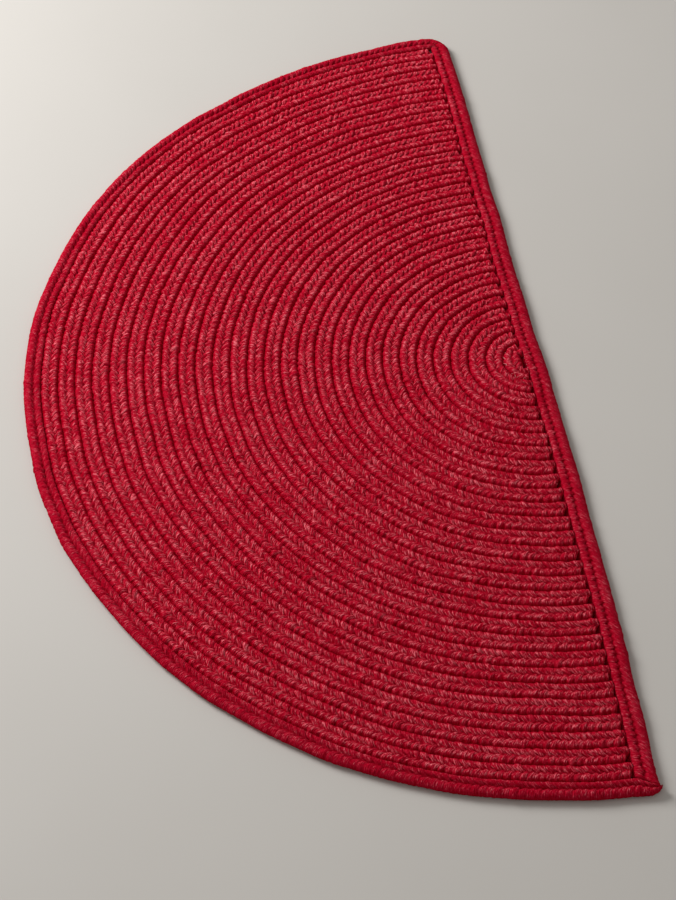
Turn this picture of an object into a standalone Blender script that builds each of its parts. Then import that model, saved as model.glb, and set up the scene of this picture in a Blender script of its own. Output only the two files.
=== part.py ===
"""A half-round braided rug, lying flat.

A flat braid is laced edge to edge in half rounds about the middle of a straight cut. A longer length
of the same braid is sewn round the outside: along the cut, round the rounded corner at +X and back
along the arc to the other corner, where its two ends meet.

Metres, +Z up. The rug lies on Z = 0 with the middle of its bounding box at the origin. Its straight
edge runs along X and faces -Y, and its arc bulges towards +Y. The pieces are modelled about the middle
of the half rounds, and an empty carries them to that place.
"""

import math

import bmesh
import bpy

# Driving dimensions
STRAIGHT_LENGTH = 1.118  # along the straight edge, corner to corner
ROWS = 29  # half rounds of braid out to the arc, the border's own row among them
THICKNESS = 0.010  # floor to the crown of a plait
CUT_OFFSET = 0.006  # from the middle of the half rounds to the row ends
EDGE_WIDTH = 0.0215  # the border where it isn't squeezed by a neighbour, along the cut
SEAM_GAP = 0.0003  # between the rows and the border

# The row ends, which are pressed down into the seam
END_ROUNDING = 0.003  # how far back from the cut a row begins to sink
END_HEIGHT = 0.8  # of the height that the row has elsewhere

# The border's corners
CORNER_RADIUS = 0.026  # outside of the turned corner, whose inside is folded close round the row ends
TIP_LENGTH = 0.003  # how far the border's end stands out past the straight edge

# Facets
ARC_STEPS = 36
EDGE_STEPS = 2 * (ROWS - 1)  # one for each row end that the border covers
CORNER_STEPS = 7
SMOOTH_UNDER = 50.0  # degrees between facets that are shaded as one surface

# What follows from the sizes above
ARC_RADIUS = STRAIGHT_LENGTH / 2
PITCH = ARC_RADIUS / ROWS
ROWS_RADIUS = (ROWS - 1) * PITCH
SEAM_RADIUS = ROWS_RADIUS + SEAM_GAP
SEAM_LINE = -(CUT_OFFSET + SEAM_GAP)
EDGE_LINE = SEAM_LINE - EDGE_WIDTH

ROW_PROFILE = (
    # across the braid, height, both as shares
    (0.00, 0.60),  # groove, where two rows are laced
    (0.26, 1.00),  # crown of the inner plait
    (0.50, 0.85),  # valley along the middle
    (0.74, 1.00),  # crown of the outer plait
)

BORDER_PROFILE = (
    # across the braid from its inner side, height, both as shares
    (0.000, 0.00),  # inner foot
    (0.000, 0.60),  # groove beside the rows
    (0.240, 0.99),  # crown of the inner plait
    (0.490, 0.85),  # valley along the middle
    (0.730, 1.00),  # crown of the outer plait
    (0.900, 0.84),  # shoulder
    (1.000, 0.48),  # widest point of the free side
    (0.965, 0.16),  # turning under
    (0.900, 0.00),  # outer foot
)

BORDER_END = (
    # metres past the middle of the half rounds, outer side drawn in, height share
    (0.0100, 0.0000, 1.00),
    (0.0180, 0.0020, 1.00),
    (0.0240, 0.0060, 0.95),
    (-EDGE_LINE + TIP_LENGTH, 0.0125, 0.78),
)

# How the rug lies: the arc and the straight edge both wander a little
RIM_WANDER = (
    # degrees round from the +X corner, metres outwards
    (0.0, 0.0060),
    (12.0, 0.0012),
    (25.0, -0.0018),
    (47.0, 0.0028),
    (62.0, 0.0012),
    (80.0, 0.0026),
    (95.0, 0.0000),
    (108.0, 0.0012),
    (120.0, 0.0002),
    (130.0, 0.0008),
    (145.0, 0.0004),
    (155.0, 0.0014),
    (168.0, 0.0002),
    (180.0, 0.0028),
)
EDGE_WANDER = (
    # metres along X, metres outwards
    (-0.560, -0.0056),
    (-0.450, -0.0012),
    (-0.360, 0.0018),
    (-0.200, 0.0034),
    (-0.040, 0.0040),
    (0.070, 0.0004),
    (0.220, -0.0006),
    (0.330, -0.0016),
    (0.460, -0.0013),
    (0.560, -0.0044),
)
EDGE_WANDER_DEPTH = 0.12  # how far into the rows the straight edge's wander reaches

# Materials: colour, roughness
ROWS_RED = (0.300, 0.008, 0.019)
BORDER_RED = (0.320, 0.008, 0.020)
YARN_ROUGHNESS = 0.88


def eased(table, at):
    """The second column of a two-column table at a value of the first, with smooth steps between rows."""
    if at <= table[0][0]:
        return table[0][1]
    for (low, before), (high, after) in zip(table, table[1:]):
        if at <= high:
            share = (at - low) / (high - low)
            return before + (after - before) * share * share * (3 - 2 * share)
    return table[-1][1]


def laid(x, y):
    """Where a point of the perfect half round comes to lie."""
    depth = max(y, 0.0)
    turn = math.atan2(depth, x)
    out = eased(RIM_WANDER, math.degrees(turn)) * (math.hypot(x, depth) / ARC_RADIUS) ** 2
    fade = 1 - eased(((0.0, 0.0), (EDGE_WANDER_DEPTH, 1.0)), depth)
    return (
        x + out * math.cos(turn),
        y + out * math.sin(turn) - eased(EDGE_WANDER, x) * fade,
    )


def vertex(mesh, x, y, z):
    """A new vertex of the mesh, laid where the rug lies."""
    return mesh.verts.new((*laid(x, y), z))


def yarn(name, colour):
    """A matt dyed yarn."""
    material = bpy.data.materials.new(name)
    material.use_nodes = True
    shader = material.node_tree.nodes["Principled BSDF"]
    shader.inputs["Base Color"].default_value = (*colour, 1.0)
    shader.inputs["Roughness"].default_value = YARN_ROUGHNESS
    shader.inputs["Metallic"].default_value = 0.0
    material.diffuse_color = (*colour, 1.0)
    return material


def finished(name, mesh, material):
    """A bmesh turned into a named object with its faces out and its ridges shaded smooth."""
    bmesh.ops.recalc_face_normals(mesh, faces=mesh.faces)
    data = bpy.data.meshes.new(name)
    mesh.to_mesh(data)
    mesh.free()
    data.materials.append(material)
    data.shade_smooth()
    data.set_sharp_from_angle(angle=math.radians(SMOOTH_UNDER))
    piece = bpy.data.objects.new(name, data)
    bpy.context.scene.collection.objects.link(piece)
    return piece


def row_lines():
    """(radius, height) of each groove, crown and valley, from the middle outwards."""
    lines = [
        ((row + across) * PITCH, height * THICKNESS)
        for row in range(ROWS - 1)
        for across, height in ROW_PROFILE
    ]
    return [*lines, (ROWS_RADIUS, ROW_PROFILE[0][1] * THICKNESS)]


def row_stations():
    """(turn, drop below the middle, height share) of each section, from the +X row ends round to -X."""
    ends = ((CUT_OFFSET, END_HEIGHT), (CUT_OFFSET - END_ROUNDING, 1.0))
    arc = [(math.pi * step / ARC_STEPS, 0.0, 1.0) for step in range(ARC_STEPS + 1)]
    return [
        *((0.0, drop, share) for drop, share in ends),
        *arc,
        *((math.pi, drop, share) for drop, share in reversed(ends)),
    ]


def braided_rows():
    """The coil of braid, cut in half: a ridge and groove top, a flat underside and square-cut row ends."""
    mesh = bmesh.new()
    lines = row_lines()
    stations = row_stations()
    middles = {}
    tops = []
    for turn, drop, share in stations:
        if drop not in middles:
            middles[drop] = vertex(mesh, 0.0, -drop, lines[0][1] * share)
        round_middle = [
            vertex(mesh, radius * math.cos(turn), radius * math.sin(turn) - drop, height * share)
            for radius, height in lines[1:]
        ]
        tops.append([middles[drop], *round_middle])

    for one, other in zip(tops, tops[1:]):
        for a, b, c, d in zip(one, one[1:], other[1:], other):
            mesh.faces.new((a, b, c) if a is d else (a, b, c, d))

    feet = rim_wall(mesh, tops, stations)
    cut_feet = cut_wall(mesh, tops, feet)
    mesh.faces.new([*cut_feet, *feet[1:-1]])
    return finished("braided_rows", mesh, yarn("rows_yarn", ROWS_RED))


def rim_wall(mesh, tops, stations):
    """The upright side against the border. Returns its vertices on the floor."""
    feet = [
        vertex(mesh, ROWS_RADIUS * math.cos(turn), ROWS_RADIUS * math.sin(turn) - drop, 0.0)
        for turn, drop, _ in stations
    ]
    for index in range(len(tops) - 1):
        mesh.faces.new((tops[index][-1], tops[index + 1][-1], feet[index + 1], feet[index]))
    return feet


def cut_wall(mesh, tops, feet):
    """The upright row ends along the cut. Returns their vertices on the floor, from -X to +X."""
    lines_a_row = len(ROW_PROFILE)
    middle_foot = vertex(mesh, 0.0, -CUT_OFFSET, 0.0)
    halves = []
    for side, top, rim_foot in ((1, tops[0], feet[0]), (-1, tops[-1], feet[-1])):
        between = [vertex(mesh, side * row * PITCH, -CUT_OFFSET, 0.0) for row in range(1, ROWS - 1)]
        floor = [middle_foot, *between, rim_foot]
        for row in range(ROWS - 1):
            first = row * lines_a_row
            mesh.faces.new([*top[first : first + lines_a_row + 1], floor[row + 1], floor[row]])
        halves.append(floor)
    plus_x, minus_x = halves
    return [*reversed(minus_x), *plus_x[1:]]


def border_sections():
    """(inner point, outer point, height share) of each section, from the end at -X right round to it."""
    sections = []
    outer_end = ARC_RADIUS - CORNER_RADIUS
    for step in range(EDGE_STEPS):
        share = step / EDGE_STEPS
        inner_x = -ROWS_RADIUS + 2 * ROWS_RADIUS * share
        outer_x = -ROWS_RADIUS + (outer_end + ROWS_RADIUS) * share
        sections.append(((inner_x, SEAM_LINE), (outer_x, EDGE_LINE), 1.0))

    for step in range(CORNER_STEPS + 1):
        turn = -math.pi / 2 * (1 - step / CORNER_STEPS)
        sections.append(
            (
                arc_point(ROWS_RADIUS, -CUT_OFFSET, SEAM_GAP, turn),
                arc_point(outer_end, EDGE_LINE + CORNER_RADIUS, CORNER_RADIUS, turn),
                1.0,
            )
        )

    for step in range(ARC_STEPS + 1):
        turn = math.pi * step / ARC_STEPS
        sections.append((arc_point(0, 0, SEAM_RADIUS, turn), arc_point(0, 0, ARC_RADIUS, turn), 1.0))

    for past, drawn_in, share in BORDER_END:
        sections.append(((-SEAM_RADIUS, -past), (drawn_in - ARC_RADIUS, -past), share))
    return sections


def arc_point(x, y, radius, turn):
    """The point of an arc about (x, y)."""
    return x + radius * math.cos(turn), y + radius * math.sin(turn)


def border_braid():
    """The braid sewn round the outside, in one length from corner to corner."""
    mesh = bmesh.new()
    rings = []
    for (inner_x, inner_y), (outer_x, outer_y), share in border_sections():
        rings.append(
            [
                vertex(
                    mesh,
                    inner_x + (outer_x - inner_x) * across,
                    inner_y + (outer_y - inner_y) * across,
                    height * THICKNESS * share,
                )
                for across, height in BORDER_PROFILE
            ]
        )
    for one, other in zip(rings, rings[1:]):
        for a, b, c, d in zip(one, [*one[1:], one[0]], [*other[1:], other[0]], other):
            mesh.faces.new((a, b, c, d))
    mesh.faces.new(rings[0])
    mesh.faces.new(rings[-1])
    return finished("border_braid", mesh, yarn("border_yarn", BORDER_RED))


def centred(pieces):
    """Hangs the pieces under an empty that brings the middle of their box to the origin."""
    corners = [vert.co for piece in pieces for vert in piece.data.vertices]
    middle_x, middle_y = (
        (min(corner[axis] for corner in corners) + max(corner[axis] for corner in corners)) / 2
        for axis in (0, 1)
    )
    rug = bpy.data.objects.new("rug", None)
    rug.location = (-middle_x, -middle_y, 0.0)
    bpy.context.scene.collection.objects.link(rug)
    for piece in pieces:
        piece.parent = rug


def main():
    for old in list(bpy.data.objects):
        bpy.data.objects.remove(old, do_unlink=True)
    centred([braided_rows(), border_braid()])


main()
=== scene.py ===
"""The looks of a half-round braided rug, lying flat on a pale floor.

Each row is a length of flat three-strand braid, bent into a half round and cut square along the
straight edge. A longer length of the same braid is sewn round the outside. Every stitch of the braid
is modelled: its strands turn over at the sides of the braid and tuck under each other along its middle,
on top and underneath.

Metres, +Z up. The braids are worked out about the middle of the half rounds and then laid in the frame.
"""

import logging
import math
from dataclasses import dataclass
from enum import Enum
from functools import cached_property
from typing import Any, Union

import bpy
import numpy as np
from mathutils import Matrix, Vector

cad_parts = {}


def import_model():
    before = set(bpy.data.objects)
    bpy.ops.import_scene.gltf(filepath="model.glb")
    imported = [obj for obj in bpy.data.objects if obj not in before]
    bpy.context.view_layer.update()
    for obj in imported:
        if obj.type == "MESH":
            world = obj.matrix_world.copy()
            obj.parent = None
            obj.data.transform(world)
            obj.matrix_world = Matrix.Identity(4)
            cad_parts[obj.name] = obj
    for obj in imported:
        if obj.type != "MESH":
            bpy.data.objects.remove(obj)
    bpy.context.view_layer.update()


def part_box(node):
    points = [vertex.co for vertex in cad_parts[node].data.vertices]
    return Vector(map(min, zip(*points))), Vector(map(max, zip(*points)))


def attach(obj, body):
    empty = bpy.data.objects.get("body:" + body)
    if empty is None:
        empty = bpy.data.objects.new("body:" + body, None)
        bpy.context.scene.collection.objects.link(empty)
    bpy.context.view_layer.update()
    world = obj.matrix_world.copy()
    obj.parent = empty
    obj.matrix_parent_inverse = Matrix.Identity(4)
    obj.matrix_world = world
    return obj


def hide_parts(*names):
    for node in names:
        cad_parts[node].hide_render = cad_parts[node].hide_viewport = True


log = logging.getLogger("braided_rug")

Array = np.ndarray
Points = tuple[Array, Array]
Pair = tuple[float, float]
Colour = tuple[float, float, float, float]
Table = tuple[tuple[float, ...], ...]
Number = Union["Field", float]

BODY = "root"

# The rug's sizes, as its solids have them
STRAIGHT_LENGTH = 1.118
ROWS = 29
THICKNESS = 0.010
CUT_OFFSET = 0.006
EDGE_WIDTH = 0.0215
SEAM_GAP = 0.0003
CORNER_RADIUS = 0.026
TIP_LENGTH = 0.003

ARC_RADIUS = STRAIGHT_LENGTH / 2
BRAID_WIDTH = ARC_RADIUS / ROWS
ROWS_RADIUS = (ROWS - 1) * BRAID_WIDTH
SEAM_LINE = -(CUT_OFFSET + SEAM_GAP)
EDGE_LINE = SEAM_LINE - EDGE_WIDTH

RIM_WANDER: Table = (
    # degrees round from the +X corner, metres outwards
    (0.0, 0.0060), (12.0, 0.0012), (25.0, -0.0018), (47.0, 0.0028), (62.0, 0.0012),
    (80.0, 0.0026), (95.0, 0.0000), (108.0, 0.0012), (120.0, 0.0002), (130.0, 0.0008),
    (145.0, 0.0004), (155.0, 0.0014), (168.0, 0.0002), (180.0, 0.0028),
)
EDGE_WANDER: Table = (
    # metres along X, metres outwards
    (-0.560, -0.0056), (-0.450, -0.0012), (-0.360, 0.0018), (-0.200, 0.0034), (-0.040, 0.0040),
    (0.070, 0.0004), (0.220, -0.0006), (0.330, -0.0016), (0.460, -0.0013), (0.560, -0.0044),
)
EDGE_WANDER_DEPTH = 0.12
COIL_DRIFT_PLUS_X: Table = (
    # metres from the middle, metres that a row end on this side lies further out than an even coil
    (0.00, 0.0078), (0.03, 0.0078), (0.07, 0.0084), (0.12, 0.0080), (0.20, 0.0066),
    (0.30, 0.0038), (0.38, 0.0012), (0.46, -0.0008), (0.54, -0.0010), (0.56, 0.0000),
)
COIL_DRIFT_MINUS_X: Table = (
    (0.00, 0.0078), (0.03, 0.0080), (0.08, 0.0090), (0.24, 0.0090), (0.32, 0.0074),
    (0.40, 0.0060), (0.46, 0.0044), (0.50, 0.0034), (0.54, 0.0014), (0.56, 0.0000),
)
COIL_DRIFT_FADE = 1.1  # how fast it fades from the row ends to the top of the half round
BORDER_END: Table = (
    # metres past the middle of the half rounds, outer side drawn in
    (0.0000, 0.0000),
    (0.0100, -0.0008),
    (0.0190, -0.0010),
    (0.0245, 0.0008),
    (0.0285, 0.0030),
    (-EDGE_LINE + TIP_LENGTH, 0.0070),
)
MITRE_TIP = (-0.5535, EDGE_LINE - TIP_LENGTH + 0.0014)  # where the mitre of the border's ends comes out
MITRE_RUN = 0.020  # how far the edge takes from the tip back to its line

# The stitches
STITCH_LENGTH = 0.0079
PHASES = (0.0, 0.12, 0.38, 0.5, 0.62, 0.88)  # stations in a stitch, which stay the same half a stitch on
SIDE_PRESS = 0.00035  # how far a braid's side presses into its neighbour's
SIDE_GIVE = 0.6  # share of that press that the unevenness of a side may take back
SIDE_BAND = 0.05  # share of the thickness above and below a side's widest point that counts as the side
SEAM_RATIO = 1.112  # stitches of the sewing in a stitch of the braid
SEAM_PINCH: Table = (
    # share across a row from its inner side, metres that the sewing pulls it in
    (-0.10, 0.0002),
    (0.06, 0.0000),
    (0.72, 0.0000),
    (0.82, 0.0004),
    (0.90, 0.0013),
    (1.02, 0.0010),
)

# The maps
MAP_STRIDE = 1000  # stitches from one braid to the next on the stitch map
CLIMB_SCALE = 0.98  # keeps the climb clear of the whole numbers, where one plait gives way to the other
STRIP_START = (0.002, 0.03)  # share of a strip of the flat map where the braid starts, along and around
STRIP_FILL = (0.996, 0.94)  # share of it that the braid takes up


def eased(table: Table, at: Array) -> Array:
    """Reads a table of two columns with smooth steps between its rows.

    Args:
        table: Rows of (place, value), lowest place first.
        at: The places to read.

    Returns:
        The value at each place.
    """
    places, values = np.array(table).T
    at = np.clip(at, places[0], places[-1])
    row = np.clip(np.searchsorted(places, at, side="right") - 1, 0, len(places) - 2)
    share = (at - places[row]) / (places[row + 1] - places[row])
    return values[row] + (values[row + 1] - values[row]) * share * share * (3 - 2 * share)


def add_object(name: str, data: bpy.types.ID) -> bpy.types.Object:
    """A new object in the scene."""
    thing = bpy.data.objects.new(name, data)
    bpy.context.scene.collection.objects.link(thing)
    return thing


def add_map(mesh: bpy.types.Mesh, name: str, values: Array) -> None:
    """Writes a map with a pair of numbers for each corner of the mesh."""
    mesh.uv_layers.new(name=name).data.foreach_set("uv", values.astype(np.float32).ravel())


def coil_drift(radius: float, turn: Array) -> Array:
    """Metres that the coil lies outside even half rounds at a radius and turns in radians from +X."""
    plus_x, minus_x = (eased(table, np.array(radius)) for table in (COIL_DRIFT_PLUS_X, COIL_DRIFT_MINUS_X))
    return np.where(turn < math.pi / 2, plus_x, minus_x) * (1 - np.sin(turn)) ** COIL_DRIFT_FADE


class Plait(Enum):
    """The two plaits of a flat braid. The value is how many stitches that plait lies ahead."""

    OUTER = 0.0
    INNER = 0.5

    @property
    def stations(self) -> int:
        """The stations that this plait lies ahead."""
        return int(self.value * len(PHASES))


@dataclass(frozen=True)
class Waves:
    """A smooth unevenness over the floor, made of a few crossing waves."""

    seed: int
    height: float
    shortest: float = 0.05
    longest: float = 0.22
    count: int = 9

    def at(self, x: Array, y: Array) -> Array:
        """Reads the waves.

        Args:
            x: Metres along X.
            y: Metres along Y.

        Returns:
            The unevenness there, in metres.
        """
        rng = np.random.default_rng(self.seed)
        total = np.zeros_like(x)
        for _ in range(self.count):
            length = rng.uniform(self.shortest, self.longest)
            turn = rng.uniform(0, 2 * math.pi)
            start = rng.uniform(0, 2 * math.pi)
            total += np.sin((x * math.cos(turn) + y * math.sin(turn)) * 2 * math.pi / length + start)
        return total * self.height / math.sqrt(self.count / 2)


@dataclass(frozen=True)
class Lay:
    """How the perfect half round comes to lie in the frame: its wandering outline and uneven rows."""

    middle: Pair
    sway: float = 0.0004
    rise: float = 0.0003

    def outline(self, x: Array, y: Array) -> Points:
        """Moves points as the arc and the straight edge wander.

        Args:
            x: Metres along X from the middle of the half rounds.
            y: Metres along Y from there.

        Returns:
            The moved x and y.
        """
        depth = np.maximum(y, 0.0)
        turn = np.arctan2(depth, x)
        out = eased(RIM_WANDER, np.degrees(turn)) * (np.hypot(x, depth) / ARC_RADIUS) ** 2
        fade = 1 - eased(((0.0, 0.0), (EDGE_WANDER_DEPTH, 1.0)), depth)
        return x + out * np.cos(turn), y + out * np.sin(turn) - eased(EDGE_WANDER, x) * fade

    def place(self, x: Array, y: Array, height: Array) -> Array:
        """Lays points in the frame.

        Args:
            x: Metres along X from the middle of the half rounds.
            y: Metres along Y from there.
            height: Metres above the floor.

        Returns:
            The points in the frame, with x, y and z along the last axis.
        """
        x, y = self.outline(x, y)
        sway_x = Waves(3, self.sway).at(x, y)
        sway_y = Waves(4, self.sway).at(x, y)
        swell = 1 + Waves(5, self.rise, shortest=0.03, longest=0.12).at(x, y) / THICKNESS
        return np.stack((x + sway_x + self.middle[0], y + sway_y + self.middle[1], height * swell), -1)


class Run:
    """The way that a braid takes over the floor, between its inner and its outer side."""

    def sides(self) -> tuple[Array, Array]:
        """The inner and the outer side as rows of (x, y), from the braid's start to its end."""
        raise NotImplementedError

    @cached_property
    def rails(self) -> tuple[Array, Array, Array]:
        """The two sides, and the length of the middle line up to each of their rows."""
        inner, outer = self.sides()
        steps = np.diff((inner + outer) / 2, axis=0)
        return inner, outer, np.concatenate(([0.0], np.cumsum(np.hypot(*steps.T))))

    @property
    def length(self) -> float:
        """The length of the braid's middle line."""
        return float(self.rails[2][-1])

    def at(self, along: Array, across: Array) -> Points:
        """Finds points on the run.

        Args:
            along: Metres along the braid's middle line.
            across: Share of the width, from the inner side outwards.

        Returns:
            The x and y from the middle of the half rounds.
        """
        inner, outer, marks = self.rails
        in_x, in_y, out_x, out_y = (np.interp(along, marks, column) for column in (*inner.T, *outer.T))
        return in_x + (out_x - in_x) * across, in_y + (out_y - in_y) * across


@dataclass(frozen=True)
class HalfRound(Run):
    """The run of one row: straight from its end on the cut, half round, and straight to the cut again."""

    inner: float
    outer: float
    drop_steps: int = 4
    arc_steps: int = 240

    @property
    def width(self) -> float:
        """The braid's width."""
        return self.outer - self.inner

    def sides(self) -> tuple[Array, Array]:
        """The inner and the outer side, which drift outwards towards the row ends.

        Returns:
            The two sides, from the end at +X.
        """
        drop = np.linspace(CUT_OFFSET, 0, self.drop_steps, endpoint=False)
        turn = np.concatenate(
            (np.zeros_like(drop), np.linspace(0, math.pi, self.arc_steps), np.full_like(drop, math.pi))
        )
        fall = np.concatenate((drop, np.zeros(self.arc_steps), drop[::-1]))
        inner, outer = (radius + coil_drift(radius, turn) for radius in (self.inner, self.outer))
        return tuple(
            np.stack((radius * np.cos(turn), radius * np.sin(turn) - fall), 1) for radius in (inner, outer)
        )


@dataclass(frozen=True)
class FirstRow(HalfRound):
    """The innermost row, folded round almost on itself, with a slit beside the border."""

    slit_half: float = 0.0092  # half the slit's length
    slit_sag: float = 0.0020  # how far the fold bulges towards the border

    def sides(self) -> tuple[Array, Array]:
        """The fold's inner side and the plain outer side.

        Returns:
            The two sides, from the end at +X.
        """
        inner, outer = super().sides()
        turn = np.linspace(0, math.pi, self.arc_steps)
        fold = slice(self.drop_steps, self.drop_steps + self.arc_steps)
        inner[: self.drop_steps, 0], inner[-self.drop_steps :, 0] = self.slit_half, -self.slit_half
        sag = self.slit_sag * np.sqrt(np.sin(turn).clip(0))
        inner[fold] = np.stack((self.slit_half * np.cos(turn), -sag), 1)
        return inner, outer


@dataclass(frozen=True)
class BorderRun(Run):
    """The run of the border: along the cut from -X to +X, round the corner and back along the arc."""

    width: float = EDGE_WIDTH
    straight_steps: int = 160
    corner_steps: int = 24
    arc_steps: int = 240

    def sides(self) -> tuple[Array, Array]:
        """The inner and the outer side, from the mitre at -X round to it.

        Returns:
            The two sides, along the cut first.
        """
        outer_end = ARC_RADIUS - CORNER_RADIUS
        tip_x, tip_y = MITRE_TIP
        inner_x = np.linspace(-ROWS_RADIUS, ROWS_RADIUS, self.straight_steps, endpoint=False)
        outer_x = np.linspace(tip_x, outer_end, self.straight_steps, endpoint=False)
        outer_y = eased(((0.0, tip_y), (MITRE_RUN, EDGE_LINE)), outer_x - tip_x)
        inner = [np.stack((inner_x, np.full_like(inner_x, SEAM_LINE)), 1)]
        outer = [np.stack((outer_x, outer_y), 1)]

        turn = np.linspace(-math.pi / 2, 0, self.corner_steps)
        round_corner = np.stack((np.cos(turn), np.sin(turn)), 1)
        inner.append((ROWS_RADIUS, -CUT_OFFSET) + SEAM_GAP * round_corner)
        outer.append((outer_end, EDGE_LINE + CORNER_RADIUS) + CORNER_RADIUS * round_corner)

        turn = np.linspace(0, math.pi, self.arc_steps)
        round_arc = np.stack((np.cos(turn), np.sin(turn)), 1)
        inner.append((ROWS_RADIUS + SEAM_GAP + coil_drift(ROWS_RADIUS, turn))[:, None] * round_arc)
        outer.append(ARC_RADIUS * round_arc)

        past = np.linspace(0, BORDER_END[-1][0], self.corner_steps)[1:]
        seam_x = -(ROWS_RADIUS + SEAM_GAP + coil_drift(ROWS_RADIUS, np.array(math.pi)))
        mitre = np.clip((past + SEAM_LINE) / (-tip_y + SEAM_LINE), 0, 1)
        inner.append(np.stack((seam_x + (tip_x - seam_x) * mitre, -past), 1))
        outer.append(np.stack((eased(BORDER_END, past) - ARC_RADIUS, -past), 1))
        return np.concatenate(inner), np.concatenate(outer)


@dataclass(frozen=True)
class Section:
    """The shape of a braid's section. Its tables go from a plait's side to the middle.

    A row of a table holds the place across as a share of the plait's width, the height as a share of the
    thickness, how many stitches a strand has travelled since the side, and the depth between stitches.
    """

    outer: Table
    inner: Table
    under: Table
    foot: Table  # the same as under, below the inner side
    side: Pair  # height, depth between stitches
    middle: Pair  # height and travel at the middle of the top
    under_middle: Pair
    middle_sink: float  # how far the middle sinks between two strands
    zigzag: float  # how far the middle swings to each side, as a share of the width
    split: float = 0.5  # where the plaits meet, as a share of the width from the inner side


ROW_UNDER: Table = ((0.15, 0.13, -0.20, 0.0006), (0.50, 0.00, -0.46, 0.0006))
ROW_SECTION = Section(
    outer=(
        (0.05, 0.70, 0.01, 0.0004),
        (0.18, 0.87, 0.03, 0.0005),
        (0.40, 1.00, 0.10, 0.0006),
        (0.64, 1.00, 0.25, 0.0007),
        (0.83, 0.94, 0.44, 0.0010),
        (0.95, 0.85, 0.60, 0.0011),
    ),
    inner=(
        (0.05, 0.70, 0.01, 0.0004),
        (0.18, 0.87, 0.03, 0.0005),
        (0.40, 0.99, 0.10, 0.0006),
        (0.64, 0.99, 0.25, 0.0009),
        (0.83, 0.92, 0.44, 0.0020),
        (0.95, 0.84, 0.60, 0.0019),
    ),
    under=ROW_UNDER,
    foot=ROW_UNDER,
    side=(0.54, 0.0003),
    middle=(0.79, 0.70),
    under_middle=(0.10, -0.70),
    middle_sink=0.0006,
    zigzag=0.045,
)
BORDER_SECTION = Section(
    outer=(
        (0.04, 0.62, 0.01, 0.0002),
        (0.16, 0.82, 0.03, 0.0002),
        (0.40, 0.97, 0.10, 0.0003),
        (0.66, 1.01, 0.25, 0.0005),
        (0.85, 0.92, 0.44, 0.0013),
        (0.95, 0.76, 0.60, 0.0017),
    ),
    inner=(
        (0.05, 0.80, 0.01, 0.0003),
        (0.20, 0.93, 0.03, 0.0003),
        (0.42, 0.98, 0.10, 0.0004),
        (0.64, 0.96, 0.25, 0.0005),
        (0.83, 0.86, 0.44, 0.0008),
        (0.95, 0.74, 0.60, 0.0010),
    ),
    under=((0.10, 0.14, -0.20, 0.0004), (0.50, 0.00, -0.46, 0.0005)),
    foot=((-0.85, 0.12, -0.20, 0.0000), (0.30, 0.04, -0.46, 0.0003)),
    side=(0.44, 0.0002),
    middle=(0.73, 0.70),
    under_middle=(0.06, -0.70),
    middle_sink=0.0006,
    zigzag=0.035,
    split=0.42,
)


class Ring:
    """The ring of points that runs round a braid's section, from the middle of its top outwards."""

    def __init__(self, section: Section, width: float) -> None:
        """Sets the points out.

        Args:
            section: The section's shape.
            width: The braid's width in metres.
        """
        split, press = section.split, SIDE_PRESS / width
        side = (0.0, section.side[0], 0.0, section.side[1])
        outer = [
            (1 + press - a * (1 + press - split), *rest, Plait.OUTER, 1.0)
            for a, *rest in (*section.outer[::-1], side, *section.under)
        ]
        inner = [
            (a * (split + press) - press, *rest, Plait.INNER, 1.0)
            for a, *rest in (*section.foot[::-1], side, *section.inner)
        ]
        top = (split, *section.middle, 0.0, Plait.OUTER, 0.0)
        under = (split, *section.under_middle, 0.0, Plait.OUTER, 0.0)
        points = [top, *outer, under, *inner]
        self.size = len(points)
        self.half = 1 + len(outer)
        self.across, self.height, self.lead, self.depth, plaits, self.free = (
            np.array(column) for column in zip(*points)
        )
        self.ahead = np.array([plait.stations for plait in plaits])

        flat = np.stack((self.across * width, self.height * THICKNESS), 1)
        tangent = np.roll(flat, -1, axis=0) - np.roll(flat, 1, axis=0)
        tangent /= np.linalg.norm(tangent, axis=1)[:, None]
        self.out = np.stack((-tangent[:, 1], tangent[:, 0]), 1)

        steps = np.linalg.norm(np.roll(flat, -1, axis=0) - flat, axis=1)
        self.around = np.concatenate(([0.0], np.cumsum(steps))) / steps.sum()
        knots = [0, len(section.outer) + 1, self.half, self.half + len(section.foot) + 1, self.size]
        self.climb = np.interp(self.around, self.around[knots], (1.0, 0.0, -1.0, 0.0, 1.0))


@dataclass(frozen=True)
class Ends:
    """How a braid finishes at its two ends."""

    cut_back: Table  # share across from the inner side, metres that the strands stop short
    reach: float  # how far along the braid that is made up
    rounding: float  # how far from the end the section has its full height
    height: float  # share of the height at the very end
    width: float  # share of the width at the very end
    uneven: float  # how much the ends differ from each other


ROW_ENDS = Ends(
    cut_back=((0.0, 0.0004), (0.42, 0.0000), (0.60, 0.0030), (1.0, 0.0042)),
    reach=0.016,
    rounding=0.0026,
    height=0.40,
    width=0.90,
    uneven=0.5,
)
BORDER_ENDS = Ends(
    cut_back=((0.0, 0.0), (1.0, 0.0)),
    reach=0.012,
    rounding=0.0020,
    height=0.85,
    width=1.0,
    uneven=0.0,
)


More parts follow.
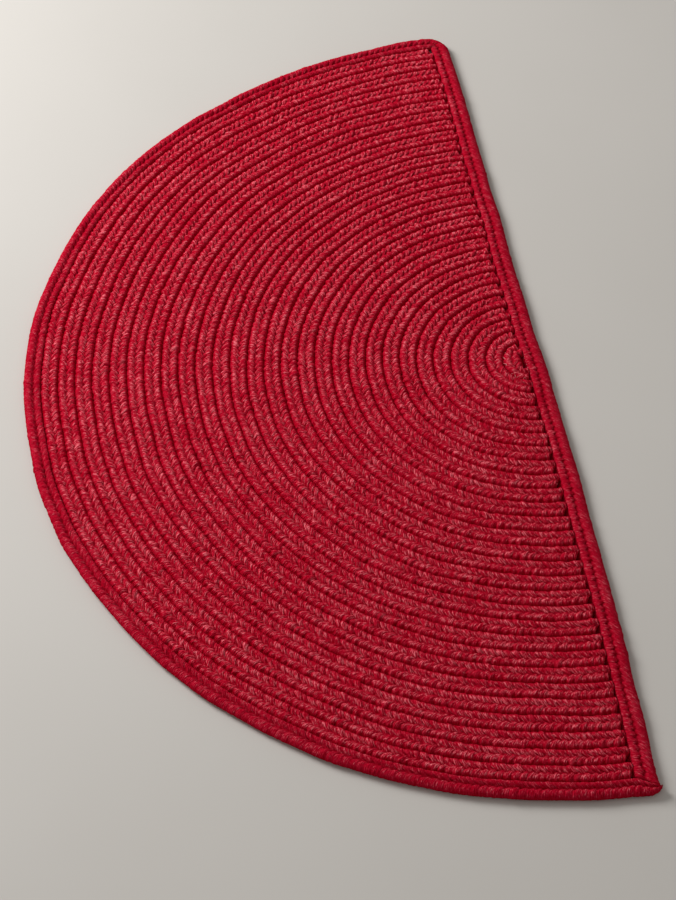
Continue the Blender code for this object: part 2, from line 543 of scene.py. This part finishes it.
@dataclass
class Braid:
    """A length of flat braid, stitch by stitch, as one closed mesh."""

    name: str
    run: HalfRound | BorderRun
    section: Section
    ends: Ends
    lay: Lay
    number: int
    strip_count: int = 6
    pinched: bool = True  # by the sewing along its sides
    foot_run: float = math.inf  # how far from the start the foot reaches under the pieces inside
    slip: float = 0.11  # of a stitch
    plump: float = 0.00032  # how much the stitches differ in thickness
    rough: float = 0.00016  # how lumpy the yarn is
    depth_spread: float = 0.22  # how much the depth between stitches varies, as a share of it
    loose_share: float = 0.05  # of the stitches, which stand up more than the others
    loose_height: float = 0.0006
    lead_run: float = 1.5  # stitches from the end over which the strands take up their lean
    firm_lead: float = 0.75  # stitches travelled since the side where a strand can't slip any more
    crown_powers: Pair = (2.4, 0.6)  # how square a stitch is along the braid, and at its ends
    pull_range: Pair = (0.5, 1.3)  # weakest and strongest pull of the sewing
    foot_start: Pair = (-0.10, 0.08)  # share across past which it is foot, and where it fades to
    foot_fade: float = 0.02  # metres over which the foot ends
    zigzag_reach: float = 0.13  # share of the width on each side of the middle that swings with it
    core: Pair = (0.42, 0.0035)  # share across and metres up that the ends close in on

    def __post_init__(self) -> None:
        """Counts the stitches that fit the run."""
        self.rng = np.random.default_rng(100 + self.number)
        self.stitches = max(4, round(self.run.length / STITCH_LENGTH))
        self.stitch = self.run.length / self.stitches
        self.stations = np.arange(self.stitches * len(PHASES) + 1)
        self.ring = Ring(self.section, self.run.width)

    def phase(self, ahead: Array | int = 0) -> tuple[Array, Array]:
        """The stitch that each station lies in and the share of it passed, for a plait so far ahead."""
        count = self.stations[:, None] + ahead
        return count // len(PHASES), np.array(PHASES)[count % len(PHASES)]

    def unevenness(self, number: Array, share: Array) -> tuple[Array, Array, Array]:
        """How each stitch differs from the others, at every station and point of the ring.

        Args:
            number: The stitch's number.
            share: The share of the stitch that is passed.

        Returns:
            The slip along the braid and the swelling in metres, and the factor on the depth between stitches.
        """
        plait = np.where(self.ring.ahead > 0, 1, 0)[None, :]
        count = self.stitches + 3
        slips, plumps, depths = self.rng.standard_normal((3, count, 2))
        loose = self.rng.random((count, 2)) < self.loose_share
        swells = plumps * self.plump + loose * self.loose_height
        slip = slips[number, plait] * (1 - share) + slips[number + 1, plait] * share
        deepening = 1 + self.depth_spread * depths[number, plait]
        return slip * self.slip * self.stitch, swells[number, plait], deepening

    def pinch(self, place: Array) -> Array:
        """How far the sewing pulls the outer side in, above its widest point.

        Args:
            place: Metres along the braid, at every station and point of the ring.

        Returns:
            Metres inwards.
        """
        sewn = SEAM_RATIO * place / self.stitch
        strength = self.rng.uniform(*self.pull_range, math.ceil(SEAM_RATIO * self.stitches) + 2)
        pull = (0.5 + 0.5 * np.cos(2 * math.pi * sewn)) ** 2 * strength[np.rint(sewn).astype(int)]
        above = self.ring.height > self.section.side[0] + SIDE_BAND
        return pull * eased(SEAM_PINCH, self.ring.across) * above

    def finish_ends(self, place: Array, across: Array, height: Array) -> tuple[Array, ...]:
        """Closes the section in at both ends and lets the strands stop short of them.

        Args:
            place: Metres along the braid.
            across: Share of the width.
            height: Metres above the floor.

        Returns:
            The three again, changed near the ends.
        """
        to_end = np.minimum(place, self.run.length - place)
        whole = np.sqrt(1 - np.clip(1 - to_end / self.ends.rounding, 0, 1) ** 2)
        middle, low = self.core
        across = middle + (across - middle) * (self.ends.width + (1 - self.ends.width) * whole)
        height = low + (height - low) * (self.ends.height + (1 - self.ends.height) * whole)
        cut = eased(self.ends.cut_back, self.ring.across)
        for sign, distance in ((1, place), (-1, self.run.length - place)):
            uneven = 1 + self.ends.uneven * self.rng.uniform(-1, 1)
            place = place + sign * cut * uneven * np.clip(1 - distance / self.ends.reach, 0, 1) ** 2
        return place, across, height

    def points(self) -> Array:
        """The vertices: station by station, the ring's points as x, y and z.

        Returns:
            The points in the frame by station, place in the ring and axis.
        """
        ring, length = self.ring, self.run.length
        number, share = self.phase(ring.ahead)
        along = np.add(*self.phase())[:, :1] * self.stitch
        to_end = np.minimum(along, length - along)
        lead_fade = np.clip(to_end / (self.lead_run * self.stitch), 0, 1)
        slip, swell, deepening = self.unevenness(number, share)
        firm = 1 - np.abs(ring.lead) / self.firm_lead
        place = np.clip(along + (ring.lead * self.stitch + slip * firm * ring.free) * lead_fade, 0, length)

        square, end = self.crown_powers
        crown = (1 - np.abs(2 * share - 1) ** square) ** end
        inward = (1 - crown) * ring.depth * deepening - swell * crown * (ring.lead >= 0)
        if self.pinched:
            inward = inward + self.pinch(place)
        lumps = self.rng.standard_normal(inward.shape)
        lumps = (lumps + np.roll(lumps, 1, axis=1) + np.roll(lumps, 2, axis=1)) / math.sqrt(3)
        inward = inward + lumps * self.rough
        if self.pinched:  # the sides stay pressed together, so nothing shows through between rows
            at_side = np.abs(ring.height - self.section.side[0]) < SIDE_BAND
            inward = np.where(at_side, np.minimum(inward, SIDE_GIVE * SIDE_PRESS), inward)
        inward = np.where(ring.free > 0, inward, 0.0)
        tucked = np.clip((self.foot_run - along) / self.foot_fade, 0, 1)
        past, kept = self.foot_start
        across = np.where(ring.across < past, kept + (ring.across - kept) * tucked, ring.across)
        across = across - inward * ring.out[:, 0] / self.run.width
        height = ring.height * THICKNESS - inward * ring.out[:, 1]

        swing = np.cos(2 * math.pi * self.phase()[1])
        from_middle = np.abs(ring.across - self.section.split)
        near_middle = eased(((0.0, 1.0), (self.zigzag_reach, 0.0)), from_middle) * (ring.lead > 0)
        across = across + self.section.zigzag * swing * near_middle
        at_top = (ring.free == 0) & (ring.lead > 0)
        height = height - at_top * self.section.middle_sink * (1 - swing**2)

        place, across, height = self.finish_ends(place, across, height)
        x, y = self.run.at(place, across)
        return self.lay.place(x, y, np.maximum(height, 0.0))

    def build(self) -> bpy.types.Object:
        """Makes the braid's object.

        Returns:
            The object, with its two maps and smooth shading.
        """
        points = self.points()
        stations, size, _ = points.shape
        at = np.arange(stations * size).reshape(stations, size)
        after = np.roll(at, -1, axis=1)
        faces = np.stack((at[:-1], after[:-1], after[1:], at[1:]), -1).reshape(-1, 4)

        mesh = bpy.data.meshes.new(self.name)
        loops = np.concatenate((faces.ravel(), at[0][::-1], at[-1]))
        starts = np.concatenate((np.arange(len(faces)) * 4, len(faces) * 4 + np.array((0, size))))
        totals = np.concatenate((np.full(len(faces), 4), (size, size)))
        mesh.vertices.add(at.size)
        mesh.vertices.foreach_set("co", points.astype(np.float32).ravel())
        mesh.loops.add(len(loops))
        mesh.loops.foreach_set("vertex_index", loops.astype(np.int32))
        mesh.polygons.add(len(starts))
        mesh.polygons.foreach_set("loop_start", starts.astype(np.int32))
        mesh.polygons.foreach_set("loop_total", totals.astype(np.int32))
        self.write_maps(mesh)
        mesh.update(calc_edges=True)
        mesh.shade_smooth()
        return add_object(self.name, mesh)

    def write_maps(self, mesh: bpy.types.Mesh) -> None:
        """Writes the stitch map, which the yarn is drawn on, and a flat map without overlaps.

        The stitch map holds the stitches travelled, and the climb from the middle of the underside at 0
        to the middle of the top at 2, with 2 more on the inner plait.

        Args:
            mesh: The braid's mesh.
        """
        size = self.ring.size
        station = np.arange(len(self.stations) - 1)[:, None]
        ring = np.arange(size)[None, :]
        inner = ring >= self.ring.half
        travelled = np.add(*self.phase())[:, 0] + MAP_STRIDE * self.number
        per_strip = math.ceil(len(station) / self.strip_count)
        strip = station // per_strip

        stitch = np.empty((len(station), size, 4, 2), np.float32)
        flat = np.empty_like(stitch)
        for corner, (ahead, beside) in enumerate(((0, 0), (0, 1), (1, 1), (1, 0))):
            stitch[:, :, corner, 0] = travelled[station + ahead] + Plait.INNER.value * inner
            stitch[:, :, corner, 1] = 1 + CLIMB_SCALE * self.ring.climb[ring + beside] + 2 * inner
            passed = (station + ahead - strip * per_strip) / per_strip
            flat[:, :, corner, 0] = passed * STRIP_FILL[0] + STRIP_START[0]
            turned = STRIP_START[1] + STRIP_FILL[1] * self.ring.around[ring + beside]
            flat[:, :, corner, 1] = (strip + turned) / self.strip_count
        turn = np.tile(np.arange(size) / size * 2 * math.pi, 2)
        discs = {
            "Stitch": np.stack((np.full(2 * size, travelled[0] + 0.5), 1.5 + 0.3 * np.cos(turn)), 1),
            "OFBake": 0.001 + 0.0008 * np.stack((np.cos(turn), np.sin(turn)), 1),
        }
        for name, values in (("Stitch", stitch), ("OFBake", flat)):
            add_map(mesh, name, np.concatenate((values.reshape(-1, 2), discs[name])))


class Field:
    """A number that changes over a surface, for shader maths written as expressions."""

    def __init__(self, graph: "Graph", socket: bpy.types.NodeSocket) -> None:
        """Keeps the socket that gives the number."""
        self.graph = graph
        self.socket = socket

    def math(self, operation: str, *others: Number) -> "Field":
        """One Math node that works on this number and the others."""
        inputs = dict(enumerate((self, *others)))
        return self.graph.node("ShaderNodeMath", {"operation": operation}, inputs).out("Value")

    def __add__(self, other: Number) -> "Field":
        """This and the other together."""
        return self.math("ADD", other)

    __radd__ = __add__

    def __sub__(self, other: Number) -> "Field":
        """This less the other."""
        return self.math("SUBTRACT", other)

    def __rsub__(self, other: float) -> "Field":
        """The other less this."""
        return self * -1 + other

    def __mul__(self, other: Number) -> "Field":
        """This times the other."""
        return self.math("MULTIPLY", other)

    __rmul__ = __mul__

    def __pow__(self, other: Number) -> "Field":
        """This to the power of the other."""
        return self.math("POWER", other)

    def __abs__(self) -> "Field":
        """This without its sign."""
        return self.math("ABSOLUTE")

    def floor(self) -> "Field":
        """The whole number at or below this."""
        return self.math("FLOOR")

    def fraction(self) -> "Field":
        """What is left above the whole number."""
        return self.math("FRACT")

    def sine(self) -> "Field":
        """The sine of this in radians."""
        return self.math("SINE")

    def cosine(self) -> "Field":
        """The cosine of this in radians."""
        return self.math("COSINE")

    def step(self, low: float, high: float) -> "Field":
        """A smooth step from 0 to 1.

        Args:
            low: Where it leaves 0.
            high: Where it reaches 1.

        Returns:
            The stepped number.
        """
        inputs = {"Value": self, "From Min": low, "From Max": high}
        settings = {"interpolation_type": "SMOOTHSTEP"}
        return self.graph.node("ShaderNodeMapRange", settings, inputs).out("Result")


@dataclass(frozen=True)
class Placed:
    """A node in a graph, whose outputs are read by name."""

    graph: "Graph"
    raw: bpy.types.Node

    def out(self, name: str | int) -> Field:
        """An output as a field."""
        return Field(self.graph, self.raw.outputs[name])


class Graph:
    """The nodes of one material."""

    def __init__(self, name: str) -> None:
        """Starts a material with its shader and output alone."""
        self.material = bpy.data.materials.new(name)
        self.material.use_nodes = True
        self.tree = self.material.node_tree
        self.shader = self.tree.nodes["Principled BSDF"]

    def node(self, kind: str, settings: dict[str, Any] | None = None, inputs: dict | None = None) -> Placed:
        """Adds a node.

        Args:
            kind: The node's type.
            settings: Its properties, which are set first.
            inputs: Values or fields by the name or number of the socket.

        Returns:
            The node.
        """
        raw = self.tree.nodes.new(kind)
        for name, value in (settings or {}).items():
            setattr(raw, name, value)
        for name, value in (inputs or {}).items():
            self.feed(raw.inputs[name], value)
        return Placed(self, raw)

    def feed(self, socket: bpy.types.NodeSocket, value: Any) -> None:
        """Gives a socket a field or a constant."""
        if isinstance(value, Field):
            self.tree.links.new(value.socket, socket)
        else:
            socket.default_value = value

    def mix(self, share: Number, one: Any, other: Any) -> Field:
        """Mixes two colours.

        Args:
            share: How much of the other colour there is.
            one: A colour or a field.
            other: A colour or a field.

        Returns:
            The mixed colour.
        """
        inputs = {"Factor_Float": share, "A_Color": one, "B_Color": other}
        raw = self.node("ShaderNodeMix", {"data_type": "RGBA"}).raw
        sockets = {socket.identifier: socket for socket in (*raw.inputs, *raw.outputs)}
        for name, value in inputs.items():
            self.feed(sockets[name], value)
        return Field(self, sockets["Result_Color"])

    def vector(self, x: Number, y: Number, z: Number) -> Field:
        """Three numbers as one vector."""
        return self.node("ShaderNodeCombineXYZ", inputs={"X": x, "Y": y, "Z": z}).out("Vector")

    def noise(self, where: Field, scale: float, detail: float, roughness: float = 0.5) -> Field:
        """Smooth noise from 0 to 1, with finer layers as detail and roughness say."""
        inputs = {"Vector": where, "Scale": scale, "Detail": detail, "Roughness": roughness}
        return self.node("ShaderNodeTexNoise", {"noise_dimensions": "3D"}, inputs).out("Fac")

    def stitch_map(self) -> tuple[Field, Field]:
        """The two numbers of the stitch map."""
        where = self.node("ShaderNodeUVMap", {"uv_map": "Stitch"}).out("UV")
        split = self.node("ShaderNodeSeparateXYZ", inputs={"Vector": where})
        return split.out("X"), split.out("Y")

    def shade(
        self, base: Field, roughness: Number, height: Field | None = None, constants: dict | None = None
    ) -> bpy.types.Material:
        """Feeds the shader.

        Args:
            base: The colour.
            roughness: How matt it is.
            height: Metres that the surface stands up.
            constants: Values by the name of the shader's socket.

        Returns:
            The finished material.
        """
        inputs = {"Base Color": base, "Roughness": roughness, **(constants or {})}
        if height is not None:
            bump = {"Strength": 1.0, "Distance": 1.0, "Height": height}
            inputs["Normal"] = self.node("ShaderNodeBump", inputs=bump).out("Normal")
        for name, value in inputs.items():
            self.feed(self.shader.inputs[name], value)
        return self.material

    def chance(self, x: Number, y: Number) -> Field:
        """A random number from 0 to 1 for each pair of whole numbers."""
        inputs = {"Vector": self.vector(x, y, 0.0)}
        return self.node("ShaderNodeTexWhiteNoise", {"noise_dimensions": "2D"}, inputs).out("Value")


def colour(red: float, green: float, blue: float) -> Colour:
    """A colour with its alpha."""
    return red, green, blue, 1.0


@dataclass(frozen=True)
class YarnFinish:
    """Dyed yarn: several plied threads in each strand, fuzzy and matt, with painted shade where strands meet
    and painted light on the crests.
    """

    name: str
    # painted highlight: pinkish specks, mostly on the lit crests
    painted_highlight: Colour = colour(1.0, 0.196, 0.238)
    # the yarn's paler tone, which also stands for the painted light on the crests
    crown: Colour = colour(0.57, 0.009, 0.034)
    body: Colour = colour(0.41, 0.000, 0.010)
    # painted shade, mixed in between stitches, in the valleys and where the yarn is darkest
    shade: Colour = colour(0.26, 0.000, 0.004)
    threads: float = 4.4  # across a strand
    plies: float = 4.6  # turns of a thread's plies from the side to the middle
    twist: float = 0.8
    uneven_twist: float = 2.4
    flank: Pair = (0.155, 0.51)  # climb over which a strand's side gives way to its crest, where the painted light starts
    crest_painted_light: float = 0.25  # how much painted light makes the crests paler
    hollow_painted_shade: float = 0.60  # how much painted shade the deepest places get
    streaking: float = 1.95  # how strongly single strands differ
    thread_light: float = 0.24  # how much each part and chance lightens the yarn
    ply_light: float = 0.08
    ply_luck: float = 0.16
    fibre_light: float = 0.6
    fuzz_light: float = 0.42
    stitch_luck: float = 0.18
    blotch_light: float = 0.16
    # painted light on the outer plait's outer flank
    flank_painted_light: float = 0.12
    pinch_painted_shade: float = 0.5  # how much painted shade darkens the outer side where the sewing pulls it in
    streak_depth: float = 0.0015
    thread_depth: float = 0.00035
    ply_depth: float = 0.00015
    fuzz_depth: float = 0.00045
    sheen_tint: Colour = colour(1.0, 0.12, 0.18)
    sewn: bool = True

    def material(self) -> bpy.types.Material:
        """Builds the material.

        Returns:
            The material, drawn on the braid's stitch map.
        """
        graph = Graph(self.name)
        travel, level = graph.stitch_map()
        stitch, share = travel.floor(), travel.fraction()
        plait = (level * 0.5).floor()
        climb = level - plait * 2 - 1
        place = graph.node("ShaderNodeTexCoord").out("Object")

        luck = graph.chance(stitch, plait)
        other_luck = graph.chance(stitch + 0.5, plait + 7)
        fibres = graph.noise(graph.vector(travel * 14, climb * 6.5, plait * 3.7), 1.0, 2.0, 0.6)
        fuzz = graph.noise(place, 900.0, 2.0, 0.7)
        streaks = graph.noise(graph.vector(travel * 6.2, climb * 2.7, plait * 5.3 + 2), 1.0, 1.0, 0.6)
        blotches = graph.noise(place, 16.0, 2.0)

        lean = (other_luck - 0.5) * self.uneven_twist + self.twist
        laid = share * self.threads + climb * lean + luck + streaks * 1.3
        ply = climb * self.plies + laid * 0.4 + other_luck * 5 + fibres * 0.6
        thread = abs((laid * math.pi).sine()) ** 0.7
        bead = abs((ply * math.pi).sine()) ** 0.7
        bead_luck = graph.chance(laid.floor() + stitch * 9, ply.floor() + plait * 31)
        rounding = 1 - abs(share * 2 - 1) ** 3

        # the yarn's own tone, at random from its threads, plies, fibres and patches; painted light is added
        # to it below
        tone_and_painted_light = thread * self.thread_light + bead * self.ply_light + bead_luck * self.ply_luck
        tone_and_painted_light = tone_and_painted_light + (streaks - 0.5) * self.streaking + (fibres - 0.5) * self.fibre_light
        tone_and_painted_light = tone_and_painted_light + fuzz * self.fuzz_light + (luck - 0.5) * self.stitch_luck
        tone_and_painted_light = tone_and_painted_light + (blotches - 0.5) * self.blotch_light - 0.04
        valley = climb.step(0.60, 0.95)
        # painted light: the crests are paler and keep more contrast, as if lit
        lit_crest = climb.step(*self.flank) * (1 - climb.step(0.80, 1.02) * 0.65)
        tone_and_painted_light = tone_and_painted_light * (lit_crest * 0.25 + 0.75) + lit_crest * self.crest_painted_light - 0.065
        # painted shade at the ends of stitches, deeper in the middle valley
        painted_gap_shade = (1 - rounding.step(0.0, 0.6)) * (valley * 0.6 + 0.3)
        # painted light on the outer plait's outer flank, and painted shade where each sewing stitch pulls it
        # in
        if self.sewn:
            sewn = travel * SEAM_RATIO
            pull = ((sewn * (2 * math.pi)).cosine() * 0.5 + 0.5) ** 2
            pull = pull * graph.chance((sewn + 0.5).floor(), 3.0)
            flank = climb.step(0.05, 0.25) * (1 - climb.step(0.42, 0.60)) * (1 - plait)
            tone_and_painted_light = tone_and_painted_light + flank * (self.flank_painted_light - pull * self.pinch_painted_shade)
        # the body gives way to the paler colour where the yarn is paler and where light is painted on
        base = graph.mix(tone_and_painted_light.step(0.10, 0.75), self.body, self.crown)
        # painted highlight, mostly on the crests
        base = graph.mix(tone_and_painted_light.step(0.63, 1.26) * (lit_crest * 0.8 + 0.2), base, self.painted_highlight)
        # painted shade from the gaps, and the same shade colour where the yarn is darkest
        shade_and_dark_tone = painted_gap_shade * self.hollow_painted_shade + (1 - tone_and_painted_light.step(-0.15, 0.30)) * 0.40
        base = graph.mix(shade_and_dark_tone, base, self.shade)

        height = thread * self.thread_depth + bead * self.ply_depth + fuzz * self.fuzz_depth
        height = height + streaks * self.streak_depth + fibres * (self.fuzz_depth * 0.6)
        sheen = {"Sheen Weight": 0.03, "Sheen Roughness": 0.5, "Sheen Tint": self.sheen_tint}
        return graph.shade(base, fibres * 0.12 + 0.8, height, {"Specular IOR Level": 0.0, **sheen})


@dataclass(frozen=True)
class BraidedRows:
    """The half rounds of braid inside the border, one piece for each row."""

    lay: Lay
    finish: YarnFinish = YarnFinish("rows_yarn")
    hole: float = 0.0012  # inner radius of the innermost row

    def build(self) -> list[bpy.types.Object]:
        """Makes the rows.

        Returns:
            One object for each row, from the middle outwards.
        """
        yarn = self.finish.material()
        rows = []
        for number in range(1, ROWS):
            kind = FirstRow if number == 1 else HalfRound
            run = kind(max((number - 1) * BRAID_WIDTH, self.hole), number * BRAID_WIDTH)
            row = Braid(f"row_{number:02d}", run, ROW_SECTION, ROW_ENDS, self.lay, number).build()
            row.data.materials.append(yarn)
            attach(row, BODY)
            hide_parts("braided_rows")
            run.length
            rows.append(row)
        return rows


@dataclass(frozen=True)
class BorderBraid:
    """The braid sewn round the outside, in one length from corner to corner."""

    lay: Lay
    finish: YarnFinish = YarnFinish(
        "border_yarn",
        # the painted highlight, the paler tone that also stands for painted light, the body, where and how
        # much light is painted on the crests, and the painted shade in the hollows
        painted_highlight=colour(0.92, 0.176, 0.218),
        crown=colour(0.52, 0.007, 0.030),
        body=colour(0.37, 0.000, 0.009),
        flank=(-0.15, 0.40),
        crest_painted_light=0.17,
        hollow_painted_shade=0.25,
        streaking=1.3,
        streak_depth=0.0011,
        sewn=False,
    )

    def build(self) -> bpy.types.Object:
        """Makes the border.

        Returns:
            The border's object.
        """
        run = BorderRun()
        braid = Braid(
            "border",
            run,
            BORDER_SECTION,
            BORDER_ENDS,
            self.lay,
            ROWS,
            strip_count=8,
            pinched=False,
            foot_run=2 * ROWS_RADIUS,
            slip=0.07,
            plump=0.00018,
            loose_share=0.02,
        )
        border = braid.build()
        border.data.materials.append(self.finish.material())
        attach(border, BODY)
        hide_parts("border_braid")
        run.length
        return border


@dataclass(frozen=True)
class ThreadFinish:
    """Sewing thread, twisted and a little paler than the yarn."""

    name: str = "sewing_thread"
    pale: Colour = colour(0.95, 0.300, 0.320)
    deep: Colour = colour(0.62, 0.060, 0.090)
    twist_depth: float = 0.0002

    def material(self) -> bpy.types.Material:
        """Builds the material.

        Returns:
            The material, drawn on the thread's own map of twists.
        """
        graph = Graph(self.name)
        along, around = graph.stitch_map()
        place = graph.node("ShaderNodeTexCoord").out("Object")
        fibres = graph.noise(place, 1400.0, 2.0)
        patches = graph.noise(place, 180.0, 1.0)
        twist = abs(((along + around) * math.pi).sine())
        paleness = twist * 0.35 + fibres * 0.4 + patches * 0.9
        base = graph.mix(paleness.step(0.35, 1.15), self.deep, self.pale)
        height = twist * self.twist_depth
        return graph.shade(base, fibres * 0.2 + 0.55, height, {"Specular IOR Level": 0.15})


@dataclass(frozen=True)
class SeamSewing:
    """The overhand stitches of thread that show round the innermost row and beside its slit."""

    lay: Lay
    finish: ThreadFinish = ThreadFinish()
    row_reach: Pair = (1.02, 0.83)  # share across the row, from the seam to the needle hole
    border_reach: Pair = (-0.02, 0.11)
    row_clear: float = 0.004  # metres from the row's ends to the sewing
    slit_span: Pair = (-0.012, 0.014)  # metres past the middle, beside the slit
    low: float = 0.0056
    high: float = 0.0086
    pitch: float = 0.0047
    points_each: int = 4  # points in a stitch
    uneven_reach: float = 0.12
    uneven_height: float = 0.00015
    thickness: float = 0.0010
    sides: int = 3
    twist_length: float = 0.0012

    def path(
        self, run: Run, reach: Pair, span: Pair, rng: np.random.Generator
    ) -> Array:
        """The way of the thread along one seam.

        Args:
            run: The braid that it is sewn to.
            reach: The shares across the braid that it swings between.
            span: How far along the braid it starts and ends.
            rng: The source of its unevenness.

        Returns:
            The points in the frame.
        """
        each = self.points_each
        steps = np.arange(math.ceil(each * span[0] / self.pitch), int(each * span[1] / self.pitch))
        swing = 0.5 + 0.5 * np.cos(steps * 2 * math.pi / each)
        seam, hole = reach
        across = seam + (hole - seam) * swing * (1 + self.uneven_reach * rng.standard_normal(len(steps)))
        height = self.low + (self.high - self.low) * swing
        height = height + self.uneven_height * rng.standard_normal(len(steps))
        return self.lay.place(*run.at(steps * self.pitch / each, across), height)

    def tube(self, path: Array) -> tuple[Array, Array, Array]:
        """A thread along a path.

        Args:
            path: The points in the frame.

        Returns:
            The rings of points, and the metres along and the share of a turn at the corners of its faces.
        """
        ahead = np.gradient(path, axis=0)
        ahead /= np.linalg.norm(ahead, axis=1)[:, None]
        beside = np.cross(ahead, (0.0, 0.0, 1.0))
        beside /= np.linalg.norm(beside, axis=1)[:, None]
        above = np.cross(beside, ahead)
        turn = np.arange(self.sides) * 2 * math.pi / self.sides + math.pi / 2
        ring = np.cos(turn)[:, None] * beside[:, None] + np.sin(turn)[:, None] * above[:, None]
        steps = np.linalg.norm(np.diff(path, axis=0), axis=1)
        marks = np.concatenate(([0.0], np.cumsum(steps)))[:, None] + np.zeros(self.sides + 1)
        turned = np.arange(self.sides + 1) / self.sides + np.zeros_like(marks)
        return path[:, None] + ring * self.thickness / 2, marks, turned

    def build(self) -> bpy.types.Object:
        """Makes the two lines of sewing as one piece.

        Returns:
            The piece.
        """
        rng = np.random.default_rng(7)
        row, border = HalfRound(0.0, BRAID_WIDTH), BorderRun()
        paths = [
            self.path(row, self.row_reach, (self.row_clear, row.length - self.row_clear), rng),
            self.path(border, self.border_reach, tuple(ROWS_RADIUS + past for past in self.slit_span), rng),
        ]

        points, faces, twists, flat, first = [], [], [], [], 0
        for number, path in enumerate(paths):
            rings, marks, turned = self.tube(path)
            points.append(rings.reshape(-1, 3))
            at = first + np.arange(len(path) * self.sides).reshape(-1, self.sides)
            after = np.roll(at, -1, axis=1)
            faces.append(np.stack((at[:-1], at[1:], after[1:], after[:-1]), -1).reshape(-1, 4))
            first += at.size
            for kept, grid in (
                (twists, np.stack((marks / self.twist_length, turned), -1)),
                (flat, np.stack((marks / marks.max() * 0.99, (number + 0.9 * turned) / len(paths)), -1)),
            ):
                corners = (grid[:-1, :-1], grid[1:, :-1], grid[1:, 1:], grid[:-1, 1:])
                kept.append(np.stack(corners, 2).reshape(-1, 2))

        mesh = bpy.data.meshes.new("sewing")
        mesh.from_pydata(np.concatenate(points).tolist(), [], np.concatenate(faces).tolist())
        for name, values in (("Stitch", twists), ("OFBake", flat)):
            add_map(mesh, name, np.concatenate(values))
        mesh.shade_smooth()
        mesh.materials.append(self.finish.material())
        sewing = add_object("sewing", mesh)
        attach(sewing, BODY)
        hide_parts("braided_rows")
        return sewing


@dataclass(frozen=True)
class Studio:
    """The pale floor, the soft lights and the camera."""

    middle: Pair
    floor_size: float = 12.0
    floor_drop: float = 0.0002  # keeps the floor clear of what lies on it
    floor_colours: tuple[tuple[float, ...], ...] = (colour(0.60, 0.57, 0.53), colour(0.66, 0.63, 0.59))
    room_colour: Colour = colour(1.0, 0.98, 0.95)
    room_light: float = 0.31
    window_turn: float = 48.0  # degrees from +X towards +Y
    window_rise: float = 35.0  # degrees above the floor
    window_far: float = 2.6
    window_size: float = 1.2
    window_watts: float = 70.0
    eye: tuple[float, float, float] = (-1.4900, 0.4563, 1.7903)
    heading: float = math.radians(-9.507)
    pitch: float = math.radians(51.575)
    roll: float = math.radians(0.569)
    lens: float = 82.74

    def floor(self) -> bpy.types.Object:
        """The floor, which isn't part of the rug.

        Returns:
            The floor, kept apart from the pieces.
        """
        half = self.floor_size / 2
        mesh = bpy.data.meshes.new("floor")
        signs = ((-1, -1), (1, -1), (1, 1), (-1, 1))
        corners = [(x * half, y * half, -self.floor_drop) for x, y in signs]
        mesh.from_pydata(corners, [], [(0, 1, 2, 3)])
        graph = Graph("pale_floor")
        grain = graph.node("ShaderNodeTexNoise", inputs={"Scale": 30.0, "Detail": 4.0}).out("Fac")
        base = graph.mix(grain, *self.floor_colours)
        mesh.materials.append(graph.shade(base, 0.7))
        floor = add_object("floor", mesh)
        return floor

    def window(self) -> None:
        """Hangs the one soft light, which faces the rug."""
        lamp = bpy.data.lights.new("window", "AREA")
        lamp.shape = "SQUARE"
        lamp.size = self.window_size
        lamp.energy = self.window_watts
        turn, rise = math.radians(self.window_turn), math.radians(self.window_rise)
        back = Vector((math.cos(turn) * math.cos(rise), math.sin(turn) * math.cos(rise), math.sin(rise)))
        holder = add_object("window", lamp)
        holder.location = back * self.window_far
        holder.rotation_mode = "QUATERNION"
        holder.rotation_quaternion = back.to_track_quat("Z", "Y")

    def camera(self) -> None:
        """Sets the camera up at the angle from which the rug is seen."""
        data = bpy.data.cameras.new("camera")
        data.lens = self.lens
        camera = add_object("camera", data)
        turned = (
            Matrix.Rotation(self.heading - math.pi / 2, 4, "Z")
            @ Matrix.Rotation(math.pi / 2 - self.pitch, 4, "X")
            @ Matrix.Rotation(self.roll, 4, "Z")
        )
        place = Matrix.Translation((self.eye[0] + self.middle[0], self.eye[1] + self.middle[1], self.eye[2]))
        camera.matrix_world = place @ turned
        bpy.context.scene.camera = camera

    def build(self) -> None:
        """Sets up the whole studio."""
        world = bpy.data.worlds.new("soft_room")
        world.use_nodes = True
        background = world.node_tree.nodes["Background"].inputs
        background["Color"].default_value = self.room_colour
        background["Strength"].default_value = self.room_light
        scene = bpy.context.scene
        scene.world = world
        scene.view_settings.view_transform = "Standard"
        self.floor()
        self.window()
        self.camera()


def rug_middle() -> Pair:
    """Where the middle of the half rounds lies in the frame, from the border's box.

    Returns:
        The x and y.
    """
    inner, outer = BorderRun().sides()
    x, y = Lay((0.0, 0.0)).outline(*np.concatenate((inner, outer)).T)
    low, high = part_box("border_braid")
    return (
        (low.x + high.x) / 2 - (x.min() + x.max()) / 2,
        (low.y + high.y) / 2 - (y.min() + y.max()) / 2,
    )


def main() -> None:
    """Builds the rug and its studio."""
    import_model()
    middle = rug_middle()
    log.info("middle of the half rounds at %.4f, %.4f", *middle)
    lay = Lay(middle)
    Studio(middle).build()
    for piece in [*BraidedRows(lay).build(), BorderBraid(lay).build(), SeamSewing(lay).build()]:
        log.info("%s: %d faces", piece.name, len(piece.data.polygons))


if __name__ == "__main__":
    logging.basicConfig(level=logging.INFO, format="%(name)s: %(message)s")
    main()
